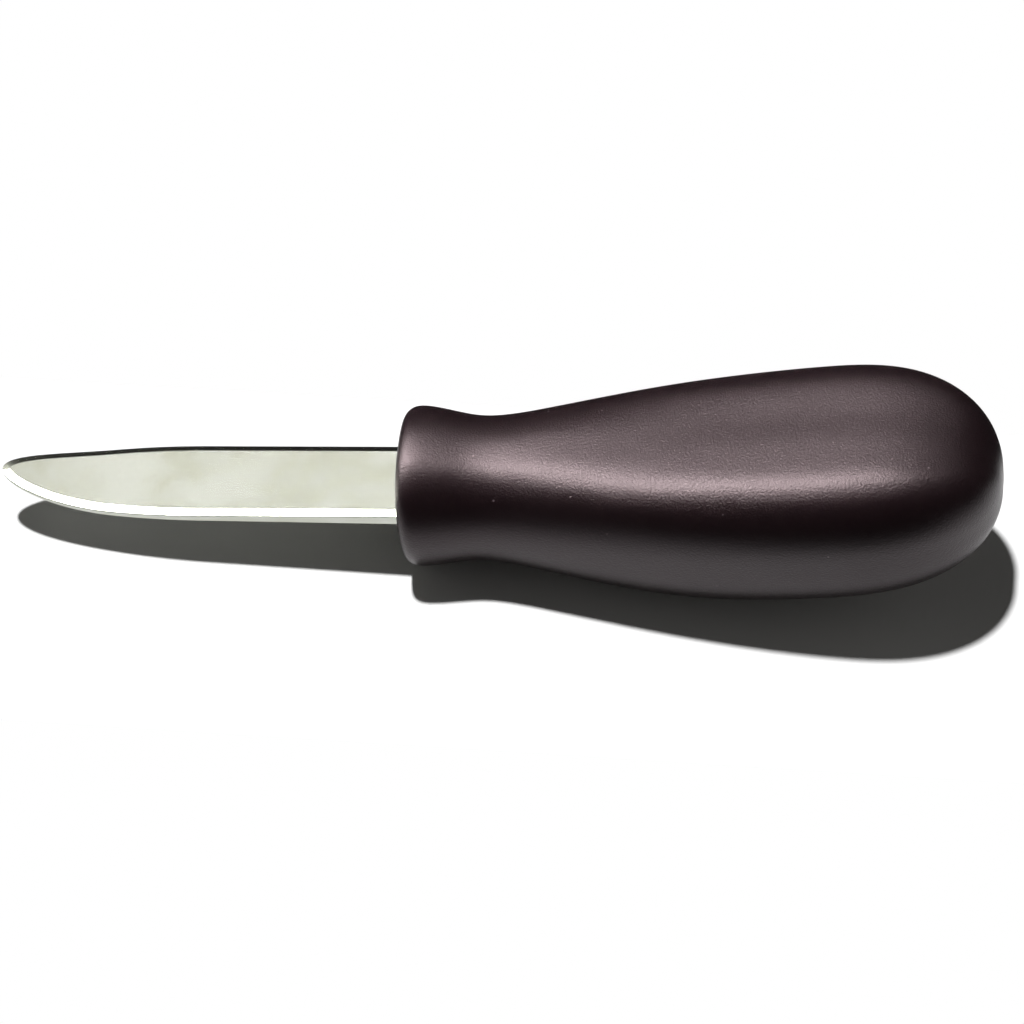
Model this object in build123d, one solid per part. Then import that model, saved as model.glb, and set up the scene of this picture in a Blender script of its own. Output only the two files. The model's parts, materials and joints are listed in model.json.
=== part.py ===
from build123d import *
import math
import os

# An oyster knife in two pieces, in millimetres: a ground stainless blade with its tang, and a
# plastic handle that is moulded onto that tang. Each piece is drawn along the knife's own axis,
# with x = 0 at the front of the collar, the point of the blade at -X, the butt of the handle at
# +X, Y across the blade and Z square to its broad faces. The last step lays the knife down on
# z = 0 as it lies on a table, on its collar and the belly of its handle.

# Blade: the length outside the handle, and the depth to which its full width is set into it
blade_length = 72.0
blade_width = 15.9
heel_thickness = 2.8
point_thickness = 1.5
heel_set_in = 4.0

# Point: an elliptical nose, ground flat at its very end, turned up towards the top face
nose_length = 36.0
upturn_length = 20.3
upturn_height = 3.5
blunt_angle = 4.0

# Bevels ground along the edges and round the nose
bevel_width = 1.4
bevel_depth = 0.4

# Tang, hidden in the handle, with holes that the plastic runs through
tang_length = 64.0
tang_width = 10.5
tang_end_radius = 3.0
tang_hole_diameter = 5.0
tang_hole_spacing = 22.0
tang_hole_count = 2
last_hole_to_end = 12.0

# Handle: places are distances from the front of the collar, widths are half widths there
handle_length = 105.3
collar_edge_radius = 2.2
front_half_width = 13.5
collar_place = 2.4
collar_half_width = 13.9
neck_place = 14.5
neck_half_width = 12.25
bulb_place = 77.3
bulb_half_width = 19.1
swell_power = 0.7
gate_half_width = 1.8

# The handle's own centre line bows down under the palm and lifts towards the butt
bow_place = 42.4
bow_depth = 1.6
lift_place = 103.0
lift_height = 3.2

# Cross-sections: half depth as a share of half width, and how square each outline is, round at
# the collar and fully squared from square_place on, with a broad, nearly flat top
collar_depth_share = 1.0
bulb_depth_share = 0.85
round_exponent = 2.2
top_exponent = 4.3
belly_exponent = 2.7
butt_exponent = 2.31
square_place = 58.0
section_points = 16
rim_section_count = 4
flank_section_count = 12
butt_section_count = 6
nose_section_count = 13
rest_fineness = 400

# The two spots that the handle lies on, under the collar and the belly, are flat
rest_flat_depth = 0.2


def eased(value, start, end):
    """0 up to start, 1 from end on, and a smooth rise between them."""
    share = min(max((value - start) / (end - start), 0), 1)
    return share * share * (3 - 2 * share)


def polygon_face(points):
    return Face(Wire.make_polygon(points))


# The blade


def blade_thickness(from_point):
    return point_thickness + (heel_thickness - point_thickness) * from_point / blade_length


def upturn(from_point):
    share = max(1 - from_point / upturn_length, 0)
    return upturn_height * share * share


def face_half_width(half_width):
    """Half width of the flat face between the bevels, which round the nose keep about their width."""
    full = blade_width / 2
    narrowing = full * bevel_width / (full - bevel_width)
    return half_width * half_width / (half_width + narrowing)


def blade_section(from_point, half_width):
    """The blade's eight-sided section, square to its axis, a distance from the point."""
    x = from_point - blade_length
    middle = upturn(from_point)
    half = blade_thickness(from_point) / 2
    edge = half - bevel_depth
    face = face_half_width(half_width)
    corners = [(face, half), (half_width, edge), (half_width, -edge), (face, -half)]
    corners += [(-y, z) for y, z in reversed(corners)]
    return polygon_face([(x, y, middle + z) for y, z in corners])


def nose_sections():
    """Sections at equal steps round the quarter of the nose's ellipse, where 0 is the point."""
    step = (90 - blunt_angle) / (nose_section_count - 1)
    angles = [math.radians(blunt_angle + step * i) for i in range(nose_section_count)]
    blunt = 1 - math.cos(math.radians(blunt_angle))
    places = [nose_length * (1 - math.cos(a) - blunt) for a in angles]
    return [blade_section(s, blade_width / 2 * math.sin(a)) for s, a in zip(places, angles)]


def blade_body():
    """The parallel part of the blade, from the nose to the end of its full width."""
    nose_reach = nose_length * math.cos(math.radians(blunt_angle))
    nose_end = nose_reach - blade_length
    half_heel = heel_thickness / 2
    half_nose = blade_thickness(nose_reach) / 2
    side = polygon_face([
        (nose_end, 0, half_nose), (0, 0, half_heel), (heel_set_in, 0, half_heel),
        (heel_set_in, 0, -half_heel), (0, 0, -half_heel), (nose_end, 0, -half_nose),
    ])
    slab = extrude(side, blade_width / 2, dir=(0, 1, 0), both=True)
    for sign in (1, -1):
        broad = slab.faces().sort_by(Axis.Z)
        broad = broad[-2:] if sign > 0 else broad[:2]
        for face in broad:
            edges = face.edges().filter_by(Plane.XZ)
            slab = chamfer(edges, bevel_width, bevel_depth, reference=face)
    return slab


def tang():
    start = heel_set_in - tang_end_radius
    length = tang_length - start
    plate = Pos(start + length / 2, 0, 0) * Box(length, tang_width, heel_thickness)
    corners = plate.edges().filter_by(Axis.Z).group_by(Axis.X)[-1]
    plate = fillet(corners, tang_end_radius)
    for i in range(tang_hole_count):
        x = tang_length - last_hole_to_end - tang_hole_spacing * i
        plate -= Pos(x, 0, 0) * Cylinder(tang_hole_diameter / 2, 2 * heel_thickness)
    return plate


def blade():
    return loft(nose_sections()) + blade_body() + tang()


# The handle


def centre_height(x):
    bow = bow_depth * eased(x, 0, bow_place)
    return (bow_depth + lift_height) * eased(x, bow_place, lift_place) - bow


def depth_share(x):
    change = eased(x, neck_place, bulb_place)
    return collar_depth_share + (bulb_depth_share - collar_depth_share) * change


def handle_section(x, half_width):
    """A closed section square to the axis, from the middle of its top right round."""
    change = eased(x, neck_place, square_place)
    points = []
    for i in range(section_points):
        angle = 2 * math.pi * i / section_points
        across, up = math.sin(angle), math.cos(angle)
        far_exponent = top_exponent if up > 0 else belly_exponent
        power = round_exponent + (far_exponent - round_exponent) * change
        reach = (abs(across) ** power + abs(up / depth_share(x)) ** power) ** (-1 / power)
        y, z = half_width * reach * across, half_width * reach * up
        points.append((x, y, centre_height(x) + z))
    return Face(Wire([Spline(points, periodic=True)]))


def flank_half_width(x):
    """Half width from the collar over the neck to the widest of the bulb."""
    rise = (collar_half_width - front_half_width) * eased(x, 0, collar_place)
    fall = (collar_half_width - neck_half_width) * eased(x, collar_place, neck_place)
    beyond = max((x - neck_place) / (bulb_place - neck_place), 0)
    swell = (bulb_half_width - neck_half_width) * eased(beyond ** swell_power, 0, 1)
    return front_half_width + rise - fall + swell


def rim_stations(count):
    """Places and half widths round the front edge, from the flat face to the collar's flank."""
    stations = []
    for i in range(count):
        angle = math.pi / 2 * i / count
        x = collar_edge_radius * (1 - math.cos(angle))
        set_in = collar_edge_radius * (1 - math.sin(angle))
        stations.append((x, flank_half_width(x) - set_in))
    return stations


def flank_stations(count):
    """Places and half widths from the collar's flank to the bulb, closest near both ends."""
    reach = bulb_place - collar_edge_radius
    places = [collar_edge_radius + reach * eased(i, 0, count) for i in range(count + 1)]
    return [(x, flank_half_width(x)) for x in places]


def butt_stations(count):
    """Places and half widths over the round butt, down to the small flat of the gate."""
    power = 2 / butt_exponent
    last_angle = math.acos((gate_half_width / bulb_half_width) ** (1 / power))
    reach = (handle_length - bulb_place) / math.sin(last_angle) ** power
    stations = []
    for i in range(1, count + 1):
        angle = last_angle * i / count
        half_width = bulb_half_width * math.cos(angle) ** power
        stations.append((bulb_place + reach * math.sin(angle) ** power, half_width))
    return stations


def section_row(stations):
    return [handle_section(x, half_width) for x, half_width in stations]


def handle_blank():
    """The smooth body and, in narrow bands, the round of its front edge."""
    flank = flank_stations(flank_section_count)
    rim = loft(section_row(rim_stations(rim_section_count) + flank[:1]), ruled=True)
    return rim + loft(section_row(flank + butt_stations(butt_section_count)))


def handle(blade_solid):
    return handle_blank() - blade_solid


# Laying the knife down


def underside():
    """Places and heights of the lowest points of the handle's sections."""
    stations = rim_stations(rest_fineness) + flank_stations(rest_fineness)
    stations += butt_stations(rest_fineness)
    return [(x, centre_height(x) - half_width * depth_share(x)) for x, half_width in stations]


def rest_slope(low):
    """Slope of the line that touches the underside of the collar and of the belly."""
    collar = [p for p in low if p[0] < neck_place]
    belly = [p for p in low if p[0] > neck_place]
    slope = 0
    for _ in range(4):
        front = min(collar, key=lambda p: p[1] + slope * p[0])
        rear = min(belly, key=lambda p: p[1] + slope * p[0])
        slope = (front[1] - rear[1]) / (rear[0] - front[0])
    return slope


def lying_place(pieces):
    """The turn and shift that lay the knife on z = 0, over the middle of its length."""
    low = underside()
    angle = math.atan(rest_slope(low))
    turn = Rot(0, -math.degrees(angle), 0)
    box = Compound(children=[turn * piece for piece in pieces]).bounding_box()
    lowest = min(x * math.sin(angle) + z * math.cos(angle) for x, z in low)
    return Pos(-box.center().X, 0, -lowest - rest_flat_depth) * turn


def lying_flat(placed_handle):
    """The handle without what reaches below z = 0, which leaves its two resting flats."""
    below = Box(2 * handle_length, 4 * bulb_half_width, 2 * bulb_half_width)
    return placed_handle - Pos(placed_handle.center().X, 0, -bulb_half_width) * below


def main():
    steel = blade()
    plastic = handle(steel)
    place = lying_place([steel, plastic])
    os.makedirs("parts", exist_ok=True)
    export_step(place * steel, "parts/blade.step")
    export_step(lying_flat(place * plastic), "parts/handle.step")


main()
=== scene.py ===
import json
import math

import bmesh
import bpy
from mathutils import Matrix, Vector


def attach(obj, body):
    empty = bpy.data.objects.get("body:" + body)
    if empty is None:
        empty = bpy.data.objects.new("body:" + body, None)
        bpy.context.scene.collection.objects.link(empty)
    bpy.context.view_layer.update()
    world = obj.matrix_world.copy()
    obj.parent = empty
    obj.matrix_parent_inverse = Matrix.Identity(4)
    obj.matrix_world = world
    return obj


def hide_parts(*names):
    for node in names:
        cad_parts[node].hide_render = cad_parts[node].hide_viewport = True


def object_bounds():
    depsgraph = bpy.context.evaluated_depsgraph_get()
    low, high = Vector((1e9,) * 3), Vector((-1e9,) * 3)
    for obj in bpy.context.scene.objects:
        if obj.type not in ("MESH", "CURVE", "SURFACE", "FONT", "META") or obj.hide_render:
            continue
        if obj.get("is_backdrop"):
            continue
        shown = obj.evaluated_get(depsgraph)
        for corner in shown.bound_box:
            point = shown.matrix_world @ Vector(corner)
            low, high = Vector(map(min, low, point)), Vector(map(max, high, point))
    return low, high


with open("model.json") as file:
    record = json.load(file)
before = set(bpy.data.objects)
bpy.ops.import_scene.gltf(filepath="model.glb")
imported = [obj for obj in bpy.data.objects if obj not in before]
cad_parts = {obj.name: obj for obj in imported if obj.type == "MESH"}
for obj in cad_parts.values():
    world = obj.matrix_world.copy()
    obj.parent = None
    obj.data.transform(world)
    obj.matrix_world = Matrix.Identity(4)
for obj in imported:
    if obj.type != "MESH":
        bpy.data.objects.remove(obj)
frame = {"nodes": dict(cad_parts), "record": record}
cad_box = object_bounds()

# The camera. The knife is seen from in front and a little from the right, looking down at it
# with a long lens, and the camera is rolled slightly, so that the blade lies level in the picture.
mm = 0.001
view_azimuth = math.radians(8.5)
view_elevation = math.radians(51.75)
view_roll = math.radians(-3.36)
view_distance = 900 * mm
aim_height = 18 * mm
aim_right = 2.73 * mm
aim_down = 6.53 * mm
sensor_width = 36.0
frame_pixels = 1024
pixels_per_mm = 5.713

towards_camera = Vector((
    math.sin(view_azimuth) * math.cos(view_elevation),
    -math.cos(view_azimuth) * math.cos(view_elevation),
    math.sin(view_elevation),
))
level_right = Vector((math.cos(view_azimuth), math.sin(view_azimuth), 0))
level_up = towards_camera.cross(level_right)
roll = Matrix.Rotation(view_roll, 3, towards_camera)
picture_right, picture_up = roll @ level_right, roll @ level_up
aim = Vector((0, 0, aim_height)) + picture_right * aim_right - picture_up * aim_down

bpy.ops.object.select_all(action="DESELECT")
bpy.ops.object.camera_add()
camera = bpy.context.object
camera.name = "photo_camera"
camera.data.sensor_width = sensor_width
camera.data.lens = sensor_width * pixels_per_mm * view_distance / mm / frame_pixels
axes = Matrix((picture_right, picture_up, towards_camera)).transposed().to_4x4()
camera.matrix_world = Matrix.Translation(aim + towards_camera * view_distance) @ axes
bpy.context.scene.camera = camera
bpy.context.scene.view_settings.view_transform = "Standard"


# The table. The knife lies on a plain sheet of paper, lit so strongly that it runs into the white
# beyond. The sheet ends close to the knife, so that the knife's sides mirror a dark room past it.
def linear(colour):
    """A colour given as sRGB hex, in the linear values that shaders take."""
    values = [int(colour[i:i + 2], 16) / 255 for i in (1, 3, 5)]
    values = [v / 12.92 if v <= 0.04045 else ((v + 0.055) / 1.055) ** 2.4 for v in values]
    return (*values, 1.0)


def add_node(tree, kind, settings=None, inputs=None, links=None):
    """Adds a node with its settings, the values of its inputs and what is linked to them."""
    node = tree.nodes.new(kind)
    for name, value in (settings or {}).items():
        setattr(node, name, value)
    for name, value in (inputs or {}).items():
        node.inputs[name].default_value = value
    for name, source in (links or {}).items():
        tree.links.new(source, node.inputs[name])
    return node


def new_material(name, sockets):
    """A material whose shader has these values where they are the same all over."""
    material = bpy.data.materials.new(name)
    material.use_nodes = True
    shader = material.node_tree.nodes["Principled BSDF"]
    for socket, value in sockets.items():
        shader.inputs[socket].default_value = value
    return material, material.node_tree, shader


sheet_length = 290 * mm
sheet_depth = 76 * mm
sheet_behind = 30 * mm
bpy.ops.mesh.primitive_plane_add(size=1.0, location=(0, sheet_behind - sheet_depth / 2, 0))
bpy.ops.transform.resize(value=(sheet_length, sheet_depth, 1))
bpy.ops.object.transform_apply(location=True, rotation=True, scale=True)
table = bpy.context.object
table.name = "table"
paper, tree, shader = new_material("white_paper", {
    "Base Color": linear("#bebebe"), "Roughness": 0.9, "Specular IOR Level": 0.0,
})
table.data.materials.append(paper)
table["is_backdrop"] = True

# The key light. A small lamp almost overhead, slightly behind the knife and to its left, casts
# the crisp shadow. The steel and the plastic don't mirror it, but the room described below.
key_direction = Vector((-0.136, 0.125, 1)).normalized()
key_strength = 6.7
key_angle = math.radians(3.5)
bpy.ops.object.light_add(type="SUN")
key = bpy.context.object
key.name = "key_light"
key.data.energy = key_strength
key.data.angle = key_angle
key.visible_glossy = False
key.matrix_world = key_direction.to_track_quat("Z", "Y").to_matrix().to_4x4()


# The room. Seen directly it is white, and its own light, strongest from both sides, only fills
# the shadows. Mirrored it is dark, with a bright ceiling from behind the knife to just past the
# zenith, and a strip lamp in that ceiling, which draws the line of light along the handle.
def calculate(tree, operation, *values):
    """The outcome of a Math node on numbers and the outputs of other nodes."""
    numbers = {i: v for i, v in enumerate(values) if isinstance(v, float)}
    sources = {i: v for i, v in enumerate(values) if i not in numbers}
    settings = {"operation": operation}
    return add_node(tree, "ShaderNodeMath", settings, numbers, sources).outputs["Value"]


def rise(tree, value, start, end, low=0.0, high=1.0, ease="SMOOTHSTEP"):
    """Goes from low, where the value is at start, to high, where it is at end."""
    limits = {"From Min": start, "From Max": end, "To Min": low, "To Max": high}
    settings = {"interpolation_type": ease}
    node = add_node(tree, "ShaderNodeMapRange", settings, limits, {"Value": value})
    return node.outputs["Result"]


def switch(tree, factor, otherwise, chosen):
    """Gives one number where the factor is 1 and the other where it is 0."""
    values = {"A": otherwise, "B": chosen}
    numbers = {name: v for name, v in values.items() if isinstance(v, float)}
    sources = {name: v for name, v in values.items() if name not in numbers}
    settings = {"data_type": "FLOAT"}
    node = add_node(tree, "ShaderNodeMix", settings, numbers, {"Factor": factor, **sources})
    return node.outputs["Result"]


fill_strength = 0.01
side_fill_strength = 0.45
side_fill_start = 0.3
side_fill_full = 1.0
dark_room = 0.02
ceiling_strength = 1.25
ceiling_starts = math.sin(math.radians(27))
ceiling_full = math.sin(math.radians(41))
ceiling_front = -0.12
ceiling_back = 0.02
ceiling_right_start = 0.4
ceiling_right_end = 0.75
strip_strength = 56.0
strip_behind = 0.19
strip_half_width = 0.16
strip_left_end = -0.25
strip_right_end = 0.2
strip_lowest = 0.3
room_white = 1.0

world = bpy.data.worlds.new("studio")
world.use_nodes = True
bpy.context.scene.world = world
tree = world.node_tree
background = tree.nodes["Background"]
direction = add_node(tree, "ShaderNodeTexCoord").outputs["Generated"]
parts = add_node(tree, "ShaderNodeSeparateXYZ", links={"Vector": direction}).outputs
above = rise(tree, parts["Z"], ceiling_starts, ceiling_full)
behind = rise(tree, parts["Y"], ceiling_front, ceiling_back)
beside = rise(tree, parts["X"], ceiling_right_end, ceiling_right_start)
ceiling = calculate(tree, "MULTIPLY", calculate(tree, "MULTIPLY", above, behind), beside)
room = rise(tree, ceiling, 0.0, 1.0, dark_room, ceiling_strength, "LINEAR")

strip_length = rise(tree, parts["X"], strip_right_end, strip_left_end, high=strip_strength)
off_strip = calculate(tree, "ABSOLUTE", calculate(tree, "SUBTRACT", parts["Y"], strip_behind))
strip_width = rise(tree, off_strip, strip_half_width, 0.0)
strip = calculate(tree, "MULTIPLY", strip_length, strip_width)
overhead = calculate(tree, "GREATER_THAN", parts["Z"], strip_lowest)
mirrored = calculate(tree, "MULTIPLY_ADD", strip, overhead, room)

aside = calculate(tree, "ABSOLUTE", parts["X"])
fill = rise(tree, aside, side_fill_start, side_fill_full, fill_strength, side_fill_strength)
rays = add_node(tree, "ShaderNodeLightPath").outputs
strength = switch(tree, rays["Is Glossy Ray"], fill, mirrored)
strength = switch(tree, rays["Is Camera Ray"], strength, room_white)
tree.links.new(strength, background.inputs["Strength"])
hue = add_node(tree, "ShaderNodeMix", {"data_type": "RGBA"}, {}, {"Factor": rays["Is Camera Ray"]})
warm_input, white_input = [socket for socket in hue.inputs if socket.type == "RGBA"]
warm_input.default_value = linear("#fffef9")
white_input.default_value = linear("#ffffff")
hue_output = next(socket for socket in hue.outputs if socket.type == "RGBA")
tree.links.new(hue_output, background.inputs["Color"])

# The blade. A short, stiff blade of stainless steel, with a bevel ground along both edges and
# round the nose, and its point turned up. It is modelled along its own axis, with the front of
# the collar at 0 and the point at -X, and then laid where the knife lies.
mounts = {mount["name"]: mount for mount in frame["record"]["mounts"]}
along = -Vector(mounts["collar_front_face"]["axis"])
across = Vector((0, 1, 0))
on_collar, on_top, on_under = (
    Vector(mounts[name]["pos_m"])
    for name in ("collar_front_face", "blade_top_face", "blade_under_face")
)
in_blade = (on_top + on_under) / 2
collar_front = in_blade + along * (on_collar - in_blade).dot(along)
knife_place = (
    Matrix.Translation(collar_front)
    @ Matrix((along, across, along.cross(across))).transposed().to_4x4()
)


def work_on(piece):
    """Makes one piece the active and only selected one."""
    bpy.ops.object.select_all(action="DESELECT")
    bpy.context.view_layer.objects.active = piece
    piece.select_set(True)


def start_piece(name):
    """Names the primitive that was just added, and opens it for editing."""
    piece = bpy.context.object
    piece.name = name
    bpy.ops.object.mode_set(mode="EDIT")
    return piece


def pick(piece, kind, test):
    """Selects the verts, edges or faces of an open piece that pass the test, and no others."""
    bpy.ops.mesh.select_mode(type={"verts": "VERT", "edges": "EDGE", "faces": "FACE"}[kind])
    bpy.ops.mesh.select_all(action="DESELECT")
    mesh = bmesh.from_edit_mesh(piece.data)
    for element in getattr(mesh, kind):
        if test(element):
            element.select_set(True)
    mesh.select_flush_mode()
    bmesh.update_edit_mesh(piece.data)


def add_modifier(piece, kind, **settings):
    """Adds a modifier to the active piece and applies it."""
    modifier = piece.modifiers.new(kind.lower(), kind)
    for name, value in settings.items():
        setattr(modifier, name, value)
    bpy.ops.object.modifier_apply(modifier=modifier.name)


def lay_down(piece):
    """Puts a piece that was modelled along its own axis where the knife lies."""
    piece.matrix_world = knife_place
    bpy.ops.object.transform_apply(location=True, rotation=True, scale=True)


knife_axes = knife_place.inverted()
steel_points = [knife_axes @ v.co for v in frame["nodes"]["blade"].data.vertices]
blade_length = -min(p.x for p in steel_points)
blade_width = 2 * max(p.y for p in steel_points)
heel_thickness = 2.8 * mm
point_thickness = 1.5 * mm
heel_set_in = 4 * mm
nose_length = 36 * mm
bevel_width = 1.4 * mm
bevel_depth = 0.4 * mm
outline_points = 192
tiny = 0.001 * mm

nose_end = nose_length - blade_length
bpy.ops.object.select_all(action="DESELECT")
bpy.ops.mesh.primitive_circle_add(
    vertices=outline_points, radius=1.0, location=(nose_end, 0, 0),
)
bpy.ops.transform.resize(value=(nose_length, blade_width / 2, 1))
bpy.ops.object.transform_apply(location=True, rotation=True, scale=True)
blade = start_piece("ground_blade")
pick(blade, "verts", lambda v: v.co.x > nose_end + tiny)
bpy.ops.mesh.delete(type="VERT")
pick(blade, "verts", lambda v: v.co.x > nose_end - tiny)
bpy.ops.mesh.extrude_vertices_move(
    TRANSFORM_OT_translate={"value": (heel_set_in - nose_end, 0, 0)},
)
bpy.ops.mesh.select_all(action="SELECT")
bpy.ops.mesh.edge_face_add()
heel_edge = heel_thickness - 2 * bevel_depth
bpy.ops.mesh.extrude_region_move(TRANSFORM_OT_translate={"value": (0, 0, heel_edge)})
bpy.ops.mesh.select_all(action="SELECT")
bpy.ops.transform.translate(value=(0, 0, -heel_edge / 2))
bpy.ops.mesh.normals_make_consistent(inside=False)

# Both faces lean together towards the point, and a bevel is ground round each.
lean = math.atan((heel_thickness - point_thickness) / 2 / blade_length)
nearly_level = 0.9
for side in (1, -1):
    pick(blade, "verts", lambda v: v.co.z * side > 0)
    bpy.ops.transform.rotate(
        value=lean * side, orient_axis="Y", center_override=(0, 0, side * heel_edge / 2),
    )
    pick(blade, "faces", lambda f: f.normal.z * side > nearly_level)
    bpy.ops.mesh.inset(thickness=bevel_width, depth=bevel_depth)

# Cuts across the blade let its point turn up in a smooth curve. The edges are then rounded a
# little, but for those between the faces and the bevels, which the grinding leaves crisp.
upturn_length = 20.3 * mm
upturn_height = 3.5 * mm
upturn_cut_spacing = 1.01 * mm
edge_radius = 0.12 * mm
edge_segments = 3
edge_angle = math.radians(25)
cuts = int(upturn_length / upturn_cut_spacing) + 1
for i in range(1, cuts + 1):
    bpy.ops.mesh.select_all(action="SELECT")
    bpy.ops.mesh.bisect(
        plane_co=(i * upturn_cut_spacing - blade_length, 0, 0), plane_no=(1, 0, 0),
    )
bpy.ops.object.mode_set(mode="OBJECT")
upturn = blade.vertex_groups.new(name="upturn")
for vertex in blade.data.vertices:
    share = max(1 - (vertex.co.x + blade_length) / upturn_length, 0)
    upturn.add([vertex.index], share ** 2, "REPLACE")
add_modifier(
    blade, "DISPLACE", direction="Z", strength=upturn_height, mid_level=0.0,
    vertex_group="upturn",
)
add_modifier(
    blade, "BEVEL", limit_method="ANGLE", angle_limit=edge_angle, width=edge_radius,
    segments=edge_segments,
)

# The tang runs on into the handle, narrower than the blade, with two holes that plastic fills.
tang_length = 64 * mm
tang_width = 10.5 * mm
tang_end_radius = 3 * mm
tang_end_segments = 6
tang_hole_radius = 2.5 * mm
tang_hole_points = 32
tang_hole_places = (30 * mm, 52 * mm)
smooth_angle = math.radians(12)


def is_end_corner(edge):
    """Whether an edge of the tang is upright and at its far end."""
    first, last = (vertex.co for vertex in edge.verts)
    return min(first.x, last.x) > tang_length - tiny and abs(first.z - last.z) > tiny


bpy.ops.mesh.primitive_cube_add(size=1.0, location=(tang_length / 2, 0, 0))
bpy.ops.transform.resize(value=(tang_length, tang_width, heel_thickness))
bpy.ops.object.transform_apply(location=True, rotation=True, scale=True)
tang = start_piece("tang")
pick(tang, "edges", is_end_corner)
bpy.ops.mesh.bevel(offset=tang_end_radius, segments=tang_end_segments, affect="EDGES")
bpy.ops.object.mode_set(mode="OBJECT")
for place in tang_hole_places:
    bpy.ops.mesh.primitive_cylinder_add(
        vertices=tang_hole_points, radius=tang_hole_radius, depth=2 * heel_thickness,
        location=(place, 0, 0),
    )
    hole = bpy.context.object
    work_on(tang)
    add_modifier(tang, "BOOLEAN", operation="DIFFERENCE", object=hole, solver="EXACT")
    bpy.data.objects.remove(hole)
work_on(blade)
add_modifier(blade, "BOOLEAN", operation="UNION", object=tang, solver="EXACT")
bpy.data.objects.remove(tang)
bpy.ops.object.shade_smooth_by_angle(angle=smooth_angle)
lay_down(blade)


# Stainless knife steel, ground along the blade and polished. The grinding leaves fine lines along
# it and faint cloudy bands, which show as slightly darker and greener patches in the reflection.
def add_noise(tree, size, place, **inputs):
    """Noise whose features are about this size, in metres."""
    inputs = {"Scale": 1 / size, **inputs}
    return add_node(tree, "ShaderNodeTexNoise", {}, inputs, {"Vector": place}).outputs["Fac"]


def add_bump(tree, shader, height, strength, distance):
    """Roughens a shader's surface by a height pattern."""
    inputs = {"Strength": strength, "Distance": distance}
    node = add_node(tree, "ShaderNodeBump", {}, inputs, {"Height": height})
    tree.links.new(node.outputs["Normal"], shader.inputs["Normal"])


def colour_between(tree, shader, value, stops):
    """Colours a shader by a value, from the first of two stops to the second."""
    node = add_node(tree, "ShaderNodeValToRGB", links={"Fac": value})
    for element, (position, colour) in zip(node.color_ramp.elements, stops):
        element.position = position
        element.color = linear(colour)
    tree.links.new(node.outputs["Color"], shader.inputs["Base Color"])


steel, tree, shader = new_material("stainless_steel_ground", {"Metallic": 1.0})
line_spacing = 0.3 * mm
line_stretch = (0.02, 1, 1)
line_depth = 0.01 * mm
line_strength = 0.12
cloud_size = 9 * mm
polished, dulled = 0.12, 0.28
place = add_node(tree, "ShaderNodeTexCoord").outputs["Object"]
stretch = add_node(tree, "ShaderNodeMapping", {}, {"Scale": line_stretch}, {"Vector": place})
lines = add_noise(tree, line_spacing, stretch.outputs["Vector"], Detail=2.0)
clouds = add_noise(tree, cloud_size, place, Detail=3.0, Distortion=0.4)
colour_between(tree, shader, clouds, [(0.35, "#b3b5aa"), (0.62, "#bdbfb8")])
roughness = rise(tree, lines, 0.0, 1.0, polished, dulled, "LINEAR")
tree.links.new(roughness, shader.inputs["Roughness"])
add_bump(tree, shader, lines, line_strength, line_depth)
blade.data.materials.append(steel)
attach(blade, "root")
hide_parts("blade")

# The handle. Black plastic, moulded in one piece round the blade's tang: a round collar with a
# flat front, a neck for the finger and thumb, and a bulb for the palm, nearly flat on top.
ring_points = 48

# Each row is a ring of the handle: its distance from the front of the collar, its half width, its
# half height and the height of its middle above the blade's, in millimetres.
handle_rings = [
    (0.0, 11.3, 11.3, 0.0), (0.65, 12.9, 12.9, 0.0), (2.2, 13.5, 13.5, 0.0),
    (4.5, 13.8, 13.8, 0.0), (8.0, 13.2, 13.2, -0.2), (11.5, 12.5, 12.5, -0.3),
    (15.0, 12.3, 12.3, -0.5), (20.0, 12.8, 12.7, -0.8), (26.0, 13.8, 13.6, -1.1),
    (33.0, 15.0, 14.6, -1.4), (40.0, 16.1, 15.3, -1.6), (47.0, 17.0, 15.8, -1.5),
    (54.0, 17.8, 16.0, -1.1), (61.0, 18.5, 16.2, -0.5), (68.0, 18.9, 16.2, 0.3),
    (75.0, 19.1, 16.2, 1.1), (81.0, 19.0, 16.1, 1.8), (86.5, 18.4, 15.7, 2.4),
    (91.5, 17.3, 14.8, 2.8), (96.0, 15.4, 13.1, 3.1), (99.7, 12.8, 10.9, 3.2),
    (102.5, 9.8, 8.3, 3.2), (104.3, 6.4, 5.4, 3.2), (105.2, 3.0, 2.6, 3.2),
]

bpy.ops.object.select_all(action="DESELECT")
bpy.ops.mesh.primitive_circle_add(
    vertices=ring_points, radius=1.0, fill_type="NGON", rotation=(0, -math.pi / 2, 0),
)
bpy.ops.object.transform_apply(location=True, rotation=True, scale=True)
handle = start_piece("moulded_handle")
last_place, last_width, last_height, last_middle = 0.0, 1.0 / mm, 1.0 / mm, 0.0
for i, (place, half_width, half_height, middle) in enumerate(handle_rings):
    if i > 0:
        step = ((place - last_place) * mm, 0, (middle - last_middle) * mm)
        bpy.ops.mesh.extrude_region_move(TRANSFORM_OT_translate={"value": step})
    bpy.ops.transform.resize(
        value=(1, half_width / last_width, half_height / last_height),
        center_override=(place * mm, 0, middle * mm),
    )
    last_place, last_width, last_height, last_middle = place, half_width, half_height, middle
bpy.ops.mesh.select_all(action="SELECT")
bpy.ops.mesh.normals_make_consistent(inside=False)
bpy.ops.object.mode_set(mode="OBJECT")
lay_down(handle)

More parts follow.
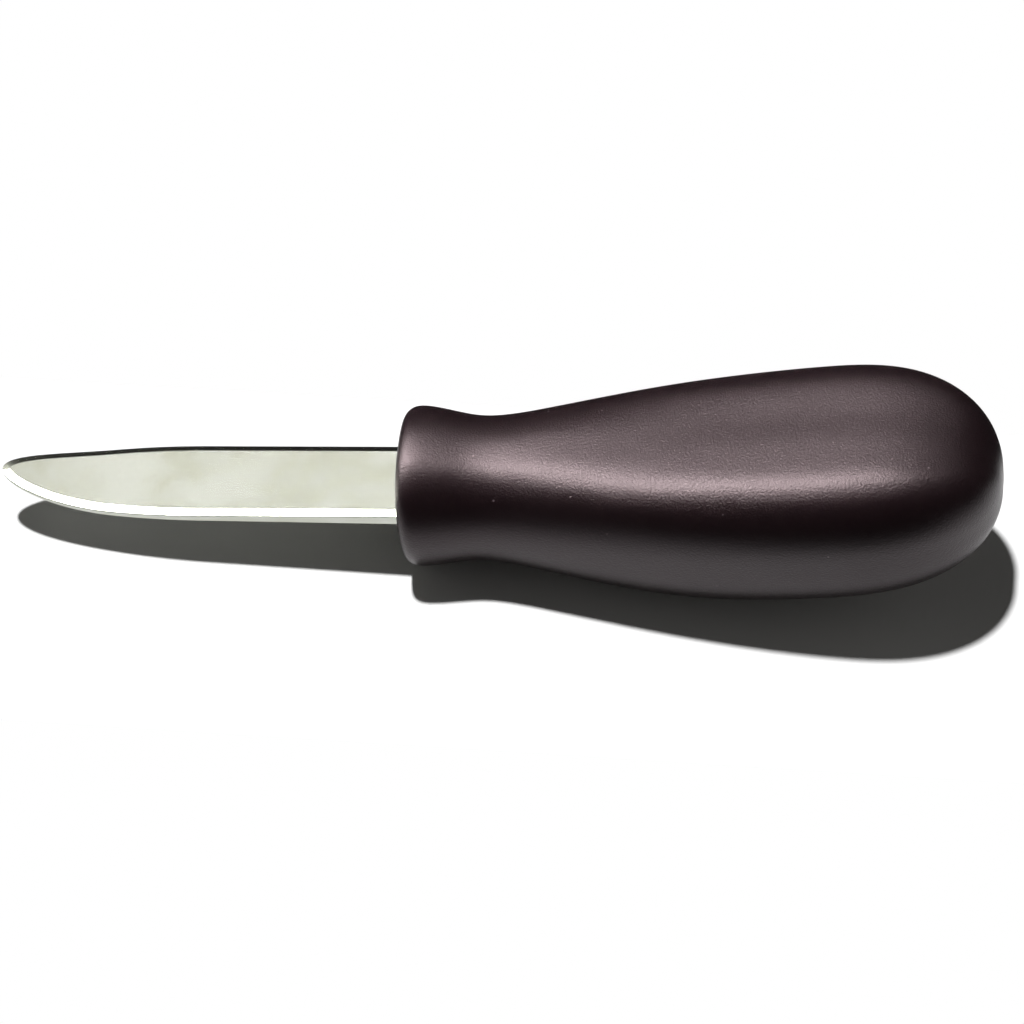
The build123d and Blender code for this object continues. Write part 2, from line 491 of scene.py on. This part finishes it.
# The rings are drawn onto the shape of the CAD handle, and the surface is made smooth between
# them. The copy of that handle is merged first, because its facets aren't joined.
smoothing = 2
shape = frame["nodes"]["handle"].copy()
shape.data = shape.data.copy()
shape.name = "handle_shape"
bpy.context.collection.objects.link(shape)
shape.parent = None
work_on(shape)
bpy.ops.object.mode_set(mode="EDIT")
bpy.ops.mesh.select_all(action="SELECT")
bpy.ops.mesh.remove_doubles(threshold=tiny)
bpy.ops.object.mode_set(mode="OBJECT")
work_on(handle)
add_modifier(handle, "SHRINKWRAP", target=shape, wrap_method="NEAREST_SURFACEPOINT")
bpy.data.objects.remove(shape)
add_modifier(handle, "SUBSURF", levels=smoothing, render_levels=smoothing)
bpy.ops.object.shade_smooth()

# Black polypropylene. The mould leaves a fine grain, which gives the black a satin sheen with a
# speckle of light and dark. It has a few pale specks, and handling has made its sheen uneven.
plastic, tree, shader = new_material("black_polypropylene_moulded", {
    "Specular IOR Level": 0.42, "Specular Tint": linear("#ffe8f0"),
})
grain_size = 0.34 * mm
grain_depth = 0.09 * mm
grain_strength = 1.0
speck_spacing = 5 * mm
speck_edges = (0.03, 0.05)
handled_patch = 14 * mm
handled, grainy = 0.29, 0.37
place = add_node(tree, "ShaderNodeTexCoord").outputs["Object"]
grain = add_noise(tree, grain_size, place, Detail=3.0, Roughness=0.6)
add_bump(tree, shader, grain, grain_strength, grain_depth)
specks = add_node(
    tree, "ShaderNodeTexVoronoi", {}, {"Scale": 1 / speck_spacing}, {"Vector": place},
).outputs["Distance"]
colour_between(tree, shader, specks, list(zip(speck_edges, ("#5a5053", "#10090b"))))
patches = add_noise(tree, handled_patch, place, Detail=2.0)
roughness = rise(tree, patches, 0.0, 1.0, handled, grainy, "LINEAR")
tree.links.new(roughness, shader.inputs["Roughness"])
handle.data.materials.append(plastic)
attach(handle, "root")
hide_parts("handle")

# The sizes of the CAD model and of the visual one.
sizes = {"cad": cad_box, "visual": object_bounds()}
sizes = {name: [list(corner) for corner in box] for name, box in sizes.items()}
